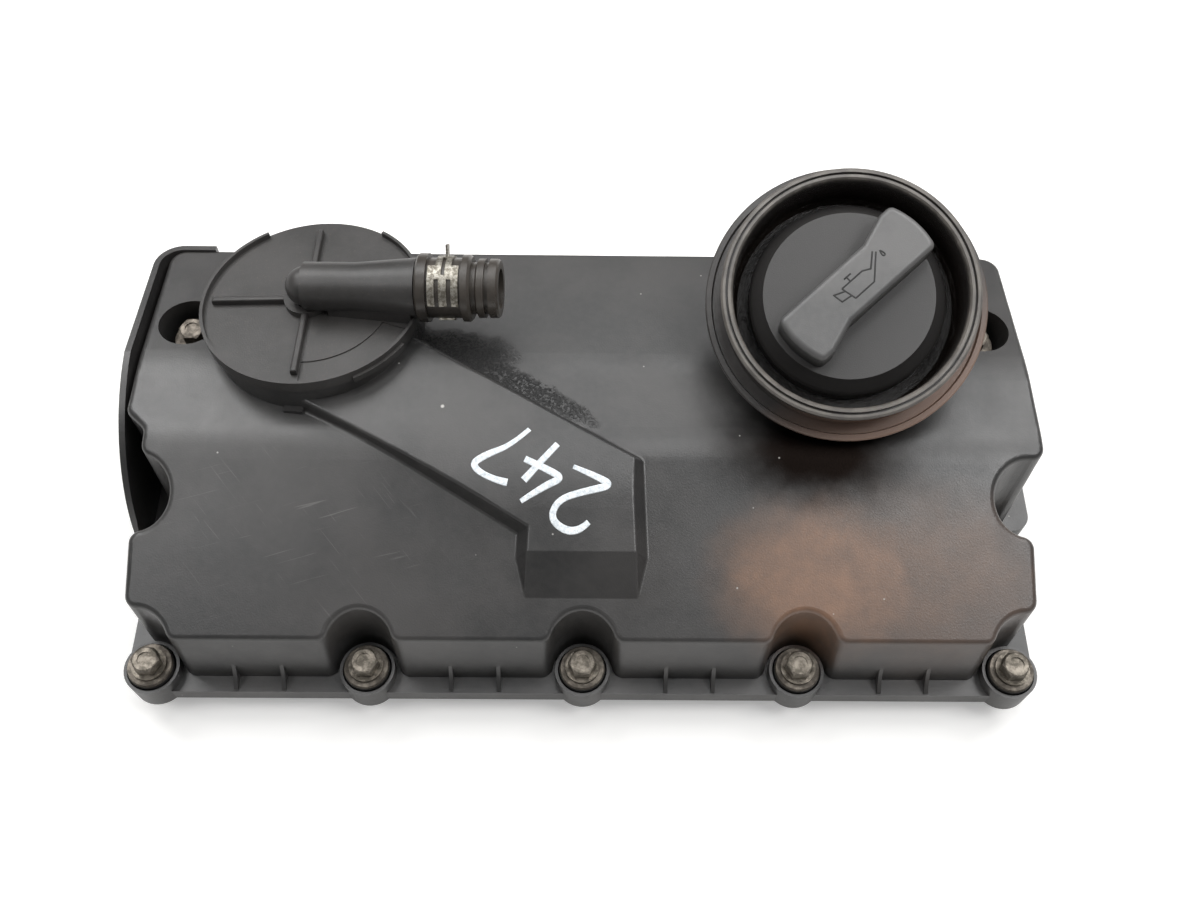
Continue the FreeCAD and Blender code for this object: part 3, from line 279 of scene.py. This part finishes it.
bolt_steel, tree, shader, tone, gloss, pits = tarnished_steel(
    "steel_phosphated", "#5a554d", "#878076", 0.44, 3.5)
thread_pitch = 1.0 * MM
thread_top = -1.5 * MM
place = add(tree, "ShaderNodeTexCoord", out="Object")
height = add(tree, "ShaderNodeSeparateXYZ", {"Vector": place}, "Z")
turns = add(tree, "ShaderNodeMath", {0: height, 1: 2 * math.pi / thread_pitch}, operation="MULTIPLY")
turns = add(tree, "ShaderNodeMath", {0: turns}, operation="SINE")
below = add(tree, "ShaderNodeMath", {0: height, 1: thread_top}, operation="LESS_THAN")
turns = add(tree, "ShaderNodeMath", {0: turns, 1: below}, operation="MULTIPLY")
thread = add(tree, "ShaderNodeBump", {"Height": turns, "Distance": 0.25 * MM, "Normal": pits})
finish_material(tree, shader, tone, gloss, thread)
for node in ("flange_bolts", "bolt_sleeves"):
    wear(node, bolt_steel)

washer_steel, tree, shader, tone, gloss, pits = tarnished_steel(
    "steel_pressed", "#504b45", "#7b746b", 0.46, 5.0)
finish_material(tree, shader, tone, gloss, pits)
for node in ("pocket_bolts", "bolt_washers"):
    wear(node, washer_steel)

# Breather valve cap: moulded nylon, a little browner than the cover, with fine dust left
# in its recess. It is snapped over the housing, and its nozzle is moulded with it.
vent_nylon, tree, shader, place = start_material("nylon_moulded_vent")
shader.inputs["IOR"].default_value = nylon_ior
tone, gloss, grain = moulded_nylon(tree, place, "#2f2e2d", "#434140", (0.36, 0.46), 0.6)
dust = add(tree, "ShaderNodeTexNoise",
           {"Vector": place, "Scale": 1 / (1.1 * MM), "Detail": 4.0, "Roughness": 0.7})
dust = add(tree, "ShaderNodeMapRange", {"Value": dust, 1: 0.6, 2: 0.7, 3: 0.0, 4: 0.5})
tone = add(tree, "ShaderNodeMix", {0: dust, 6: tone, 7: linear("#5a5048")}, 2, data_type="RGBA")
finish_material(tree, shader, tone, gloss, grain)
wear("vent_cap", vent_nylon)

# Hose coupling: turned-looking rings of moulded nylon, glossy from oil, held on the nozzle
# by a sprung clip of zinc-plated steel that is worn bright and spotted.
coupling_nylon, tree, shader, place = start_material("nylon_moulded_coupling")
shader.inputs["IOR"].default_value = nylon_ior
finish_material(tree, shader, *moulded_nylon(tree, place, "#282523", "#504a43", (0.24, 0.38), 0.6))
wear("breather_coupling", coupling_nylon)

clip_zinc, tree, shader, tone, gloss, pits = tarnished_steel(
    "steel_zinc_plated", "#6e695f", "#b9b5ab", 0.36, 1.6)
finish_material(tree, shader, tone, gloss, pits)
wear("coupling_clip", clip_zinc)

# Valve spring: a coil of drawn wire between the cap and the diaphragm's plate, with the
# clip's bright finish. It shortens by the valve's stroke; here it is drawn as its own piece,
# with its own copy of the mesh, carried by the cover.
joints = {joint["name"]: joint for joint in frame["record"]["behaviour"]["joints"]}
coil_mesh = nodes["vent_spring"].data.copy()
spring = bpy.data.objects.new("valve_spring_coil", coil_mesh)
bpy.context.scene.collection.objects.link(spring)
coil_mesh.materials.clear()
coil_mesh.materials.append(clip_zinc)
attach(spring, "cover")
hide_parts("vent_spring")
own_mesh(spring)

# Filler collar: moulded nylon under a brown oil film, bronze on the lower flange, painted paler on
# its front right as a highlight, and nearly black in the trough, where oil stands wet round the cap
# and painted shade deepens towards the bottom. Its lip is rubbed grey and painted paler still as a
# highlight. Heights are along the cap's axis, from the plane of the lip.
collar_axis = Vector(joints["cap_turn"]["axis"])
collar_centre = Vector(joints["cap_turn"]["pos_m"])
trough_r = 46.2 * MM
trough_height = (-3 * MM, -17 * MM)
flange_height = (-14 * MM, -16 * MM)
lip_height = (-2.5 * MM, -0.5 * MM)
film_and_highlight_side = (0.5, -0.87, 0)
film_and_highlight_reach = (12 * MM, 46 * MM)
collar_nylon, tree, shader, place = start_material("nylon_moulded_collar")
shader.inputs["IOR"].default_value = nylon_ior
tone, gloss, grain = moulded_nylon(tree, place, "#353332", "#4b4846", (0.3, 0.4), 0.7)
off_centre = add(tree, "ShaderNodeVectorMath", {0: place, 1: collar_centre}, operation="SUBTRACT")
along = add(tree, "ShaderNodeVectorMath",
            {0: off_centre, 1: collar_axis}, "Value", operation="DOT_PRODUCT")
across = add(tree, "ShaderNodeVectorMath", {0: off_centre, 1: collar_axis}, operation="CROSS_PRODUCT")
across = add(tree, "ShaderNodeVectorMath", {0: across}, "Value", operation="LENGTH")
inside = add(tree, "ShaderNodeMath", {0: across, 1: trough_r}, operation="LESS_THAN")
# Painted shade: the trough is drawn darker the deeper it goes, over the wet oil in it.
deep_shade = add(tree, "ShaderNodeMapRange",
           {"Value": along, 1: trough_height[0], 2: trough_height[1], 3: 0.55, 4: 1.0})
trough_oil_and_shade = add(tree, "ShaderNodeMath", {0: inside, 1: deep_shade}, operation="MULTIPLY")
# Painted highlight: the flange's bronze is painted paler on its front right, where the oil film is, and
# stands in for the light it catches there.
foot = add(tree, "ShaderNodeMapRange",
           {"Value": along, 1: flange_height[0], 2: flange_height[1], 3: 0.0, 4: 1.0})
film_and_highlight_facing = add(tree, "ShaderNodeVectorMath",
           {0: off_centre, 1: film_and_highlight_side}, "Value", operation="DOT_PRODUCT")
film_and_highlight_facing = add(tree, "ShaderNodeMapRange",
           {"Value": film_and_highlight_facing, 1: film_and_highlight_reach[0], 2: film_and_highlight_reach[1], 3: 0.0, 4: 0.85})
bronze_and_highlight = add(tree, "ShaderNodeMath", {0: foot, 1: film_and_highlight_facing}, operation="MULTIPLY")
# Painted highlight: the lip's rubbed grey is painted paler than wear alone would make it, for the light
# its edges catch.
lip_rub_and_highlight = add(tree, "ShaderNodeMapRange",
          {"Value": along, 1: lip_height[0], 2: lip_height[1], 3: 0.0, 4: 0.75})
lip_patches = add(tree, "ShaderNodeTexNoise", {"Vector": place, "Scale": 1 / (9 * MM), "Detail": 4.0})
lip_patches = add(tree, "ShaderNodeMapRange", {"Value": lip_patches, 1: 0.35, 2: 0.6, 3: 0.4, 4: 1.0})
lip_rub_and_highlight = add(tree, "ShaderNodeMath", {0: lip_rub_and_highlight, 1: lip_patches}, operation="MULTIPLY")
for mask, colour, sheen in (
    (bronze_and_highlight, "#8c7060", 0.34),
    (trough_oil_and_shade, "#17120f", 0.14),
    (lip_rub_and_highlight, "#78736d", 0.3),
):
    tone = add(tree, "ShaderNodeMix", {0: mask, 6: tone, 7: linear(colour)}, 2, data_type="RGBA")
    gloss = add(tree, "ShaderNodeMix", {0: mask, 2: gloss, 3: sheen}, 0, data_type="FLOAT")
drops = add(tree, "ShaderNodeTexNoise",
            {"Vector": place, "Scale": 1 / (2.2 * MM), "Detail": 4.0, "Roughness": 0.7})
drops = add(tree, "ShaderNodeMath", {0: drops, 1: trough_oil_and_shade}, operation="MULTIPLY")
wet = add(tree, "ShaderNodeBump", {"Height": drops, "Distance": 0.9 * MM, "Normal": grain})
finish_material(tree, shader, tone, gloss, wet)
wear("filler_collar", collar_nylon)

# Filler cap: nylon from a spark-eroded mould, so its grain is fine and even. The grip is
# rubbed grey by hands, and the face round it is drawn darker than the grip, going by height
# along the cap's axis. The lines of the grip's oil-can sign are dark and matt as the seals are.
face_dark_height = (-4.5 * MM, 5 * MM)
cap_nylon, tree, shader, place = start_material("nylon_spark_grained")
shader.inputs["IOR"].default_value = aged_nylon_ior
tone, gloss, grain = moulded_nylon(tree, place, "#4b4b4b", "#636261", (0.38, 0.46), 0.45)
above = add(tree, "ShaderNodeVectorMath", {0: place, 1: collar_centre}, operation="SUBTRACT")
above = add(tree, "ShaderNodeVectorMath", {0: above, 1: collar_axis}, "Value", operation="DOT_PRODUCT")
# Darker towards the face and lighter up the grip, going by height along the cap's axis.
face_darkening = add(tree, "ShaderNodeMapRange",
           {"Value": above, 1: face_dark_height[0], 2: face_dark_height[1], 3: 0.9, 4: 0.0},
           interpolation_type="SMOOTHSTEP")
tone = add(tree, "ShaderNodeMix", {0: face_darkening, 6: tone, 7: linear("#211f1e")}, 2, data_type="RGBA")
gloss = add(tree, "ShaderNodeMix", {0: face_darkening, 2: gloss, 3: 0.5}, 0, data_type="FLOAT")
finish_material(tree, shader, tone, gloss, grain)
wear("filler_cap", cap_nylon)


def lay_lines(name, strokes, width, uneven, rise, corner, across, up, node, body, material):
    """Thin raised lines on a CAD node, drawn in millimetres from a corner, across and up.

    Uneven makes the line swell and thin along its way, and rise is its height on the skin.
    """
    reach = 30 * MM
    curve = bpy.data.curves.new(name, "CURVE")
    curve.dimensions = "3D"
    curve.bevel_depth = width / 2
    curve.bevel_resolution = 3
    curve.use_fill_caps = True
    for stroke in strokes:
        spline = curve.splines.new("NURBS")
        spline.points.add(len(stroke) - 1)
        for index, (x, y) in enumerate(stroke):
            spline.points[index].co = (x * MM, y * MM, 0, 1)
            spline.points[index].radius = 1.1 - uneven * (1 + math.sin(2.3 * index + x))
        spline.use_endpoint_u = True
        spline.order_u = 3
        spline.resolution_u = 10
    drawn = bpy.data.objects.new(name, curve)
    mesh = bpy.data.meshes.new_from_object(drawn)
    bpy.data.objects.remove(drawn)
    skin = nodes[node].data
    face = BVHTree.FromPolygons([v.co for v in skin.vertices], [p.vertices for p in skin.polygons])
    out = across.cross(up)
    for vertex in mesh.vertices:
        x, y, h = vertex.co
        start = corner + across * x + up * y
        hit = face.ray_cast(start + out * reach, -out, 2 * reach)[0]
        vertex.co = (hit or start) + out * h * 2 * rise / width
    for polygon in mesh.polygons:
        polygon.use_smooth = True
    piece = bpy.data.objects.new(name, mesh)
    bpy.context.scene.collection.objects.link(piece)
    mesh.materials.append(material)
    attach(piece, body)


grip_angle = 41
lean = Vector((0, 0, 1)).rotation_difference(collar_axis)
grip_turn = Matrix.Rotation(math.radians(grip_angle), 3, "Z")
sign_across = lean @ (grip_turn @ Vector((1, 0, 0)))
sign_up = lean @ (grip_turn @ Vector((0, 1, 0)))
can_side = [(-7, 2.2), (-7, 2.2), (-5.6, -4), (-5.6, -4), (4, -4), (4, -4), (12.5, 4.2)]
can_top = [(-7, 2.2), (-7, 2.2), (3.5, 2.2), (3.5, 2.2), (6.5, 0.6), (6.5, 0.6), (11.6, 5.2)]
can_handle = [(-6.6, 0.6), (-6.6, 0.6), (-11, 2.4), (-11, 2.4), (-10.4, -1.6), (-10.4, -1.6), (-6, -2.2)]
can_lid = [(-2.6, 2.2), (-2.6, 2.2), (-2.6, 4.4), (-2.6, 4.4), (-4.8, 4.4), (-0.4, 4.4)]
can_drop = [(14, 3.6), (13.2, 1.6), (14, 0.8), (14.8, 1.6), (14, 3.6)]
lay_lines(
    "oil_can_sign", [can_side, can_top, can_handle, can_lid, can_drop], width=0.6 * MM, uneven=0.0,
    rise=0.12 * MM, corner=collar_centre + sign_across * 3 * MM, across=sign_across, up=sign_up,
    node="filler_cap", body="cap", material=seal_rubber)

# Stock number on the duct: plain digits in white paint marker, written by hand the other
# way up. Where the paint is thin it is greyer and duller.
marker_paint, tree, shader, place = start_material("paint_marker_white")
paint = add(tree, "ShaderNodeTexNoise",
            {"Vector": place, "Scale": 1 / (1.6 * MM), "Detail": 4.0, "Roughness": 0.7})
paint = add(tree, "ShaderNodeMapRange", {"Value": paint, 1: 0.3, 2: 0.6, 3: 0.0, 4: 1.0})
tone = add(tree, "ShaderNodeMix",
           {0: paint, 6: linear("#b9c1c7"), 7: linear("#eef3f6")}, 2, data_type="RGBA")
gloss = add(tree, "ShaderNodeMapRange", {"Value": paint, 3: 0.7, 4: 0.5})
ripple = add(tree, "ShaderNodeBump", {"Height": paint, "Distance": 0.05 * MM})
finish_material(tree, shader, tone, gloss, ripple)
digit_height = 23.0
digit_step = 17.5
digit_two = [
    (0.02, 0.72), (0.1, 1.02), (0.6, 1.05), (0.66, 0.68),
    (0.3, 0.3), (0.0, 0.02), (0.2, 0.0), (0.72, 0.08),
]
digit_four = [(0.42, 1.04), (0.2, 0.6), (0.02, 0.36), (0.2, 0.34), (0.74, 0.4)]
four_stem = [(0.56, 0.72), (0.5, 0.4), (0.4, -0.12)]
digit_seven = [(0.02, 0.9), (0.3, 1.0), (0.72, 0.98), (0.6, 0.7), (0.3, 0.3), (0.2, -0.1)]
number = []
for index, line in ((0, digit_two), (1, digit_four), (1, four_stem), (2, digit_seven)):
    number.append([(x * digit_height + index * digit_step, y * digit_height) for x, y in line])
written = math.radians(149)
lay_lines(
    "stock_number", number, width=2.9 * MM, uneven=0.24, rise=0.1 * MM,
    corner=Vector((11, -41, 77)) * MM,
    across=Vector((math.cos(written), math.sin(written), 0)),
    up=Vector((-math.sin(written), math.cos(written), 0)),
    node="cover_shell", body="cover", material=marker_paint)

# Studio: a sheet of white paper under the part, which glows for the camera alone and more
# so far from the part, and a world that is white for the camera and dim for the part.
paper_reach = 3.0
sheet = bmesh.new()
bmesh.ops.create_grid(sheet, x_segments=1, y_segments=1, size=paper_reach)
bmesh.ops.translate(sheet, verts=sheet.verts, vec=(0, 0, cad_low.z))
floor_mesh = bpy.data.meshes.new("floor")
sheet.to_mesh(floor_mesh)
sheet.free()
floor = bpy.data.objects.new("floor", floor_mesh)
bpy.context.scene.collection.objects.link(floor)
paper, tree, shader, place = start_material("white_paper")
shader.inputs["Base Color"].default_value = linear("#f0efed")
shader.inputs["Roughness"].default_value = 0.9
seen = add(tree, "ShaderNodeLightPath", out="Is Camera Ray")
far = add(tree, "ShaderNodeVectorMath", {0: place}, "Value", operation="LENGTH")
far = add(tree, "ShaderNodeMapRange", {"Value": far, 1: 0.45, 2: 1.5, 3: 0.3, 4: 1.0})
seen = add(tree, "ShaderNodeMath", {0: seen, 1: far}, operation="MULTIPLY")
glow = add(tree, "ShaderNodeEmission", {"Color": (1, 1, 1, 1), "Strength": seen})
both = add(tree, "ShaderNodeAddShader", {0: shader.outputs[0], 1: glow})
tree.links.new(both, tree.nodes["Material Output"].inputs["Surface"])
floor_mesh.materials.append(paper)

world = bpy.data.worlds.new("studio")
world.use_nodes = True
bpy.context.scene.world = world
background = world.node_tree.nodes["Background"]
background.inputs["Color"].default_value = (1, 1, 1, 1)
seen = add(world.node_tree, "ShaderNodeLightPath", out="Is Camera Ray")
level = add(world.node_tree, "ShaderNodeMapRange", {"Value": seen, 3: 0.2, 4: 1.0})
world.node_tree.links.new(level, background.inputs["Strength"])

# Six soft lamps: one above, two beside and three behind the part, whose mirror images lie
# on its top and slopes. The front walls mirror none of them and stay dark.
lamp_aim = Vector((0, 0, 0.03))
for name, spot, size_m, watts in (
    ("soft_above", (0.06, 0.12, 1.3), (0.34, 0.5), 2.6),
    ("soft_right", (0.62, -0.22, 1.15), (0.4, 0.4), 4.6),
    ("soft_left", (-0.7, -0.25, 1.15), (0.45, 0.45), 3.0),
    ("soft_rear_right", (0.74, 0.52, 1.1), (0.6, 0.8), 7.5),
    ("soft_rear_left", (-0.62, 0.55, 1.1), (0.6, 0.8), 8.0),
    ("soft_rear", (0.05, 0.95, 1.1), (0.7, 0.5), 3.8),
):
    lamp = bpy.data.lights.new(name, "AREA")
    lamp.shape = "RECTANGLE"
    lamp.size, lamp.size_y = size_m
    lamp.energy = watts
    holder = bpy.data.objects.new(name, lamp)
    holder.location = spot
    holder.rotation_euler = (lamp_aim - Vector(spot)).to_track_quat("-Z", "Y").to_euler()
    bpy.context.scene.collection.objects.link(holder)

# The photograph's own viewpoint, solved from the bolt row, the corners and the two round
# pieces: half a metre away and 60 degrees above the horizon.
camera_spot = (0.00113, -0.26323, 0.48963)
camera_above_horizon = 60.47
camera_data = bpy.data.cameras.new("camera")
camera_data.sensor_width = 36.0
camera_data.lens = 36.23
camera = bpy.data.objects.new("camera", camera_data)
turn = Matrix.Rotation(math.radians(-1.27), 4, "Z")
tip = Matrix.Rotation(math.radians(90 - camera_above_horizon), 4, "X")
roll = Matrix.Rotation(math.radians(1.56), 4, "Z")
camera.matrix_world = Matrix.Translation(camera_spot) @ turn @ tip @ roll
bpy.context.scene.collection.objects.link(camera)
bpy.context.scene.camera = camera
bpy.context.scene.view_settings.view_transform = "Standard"
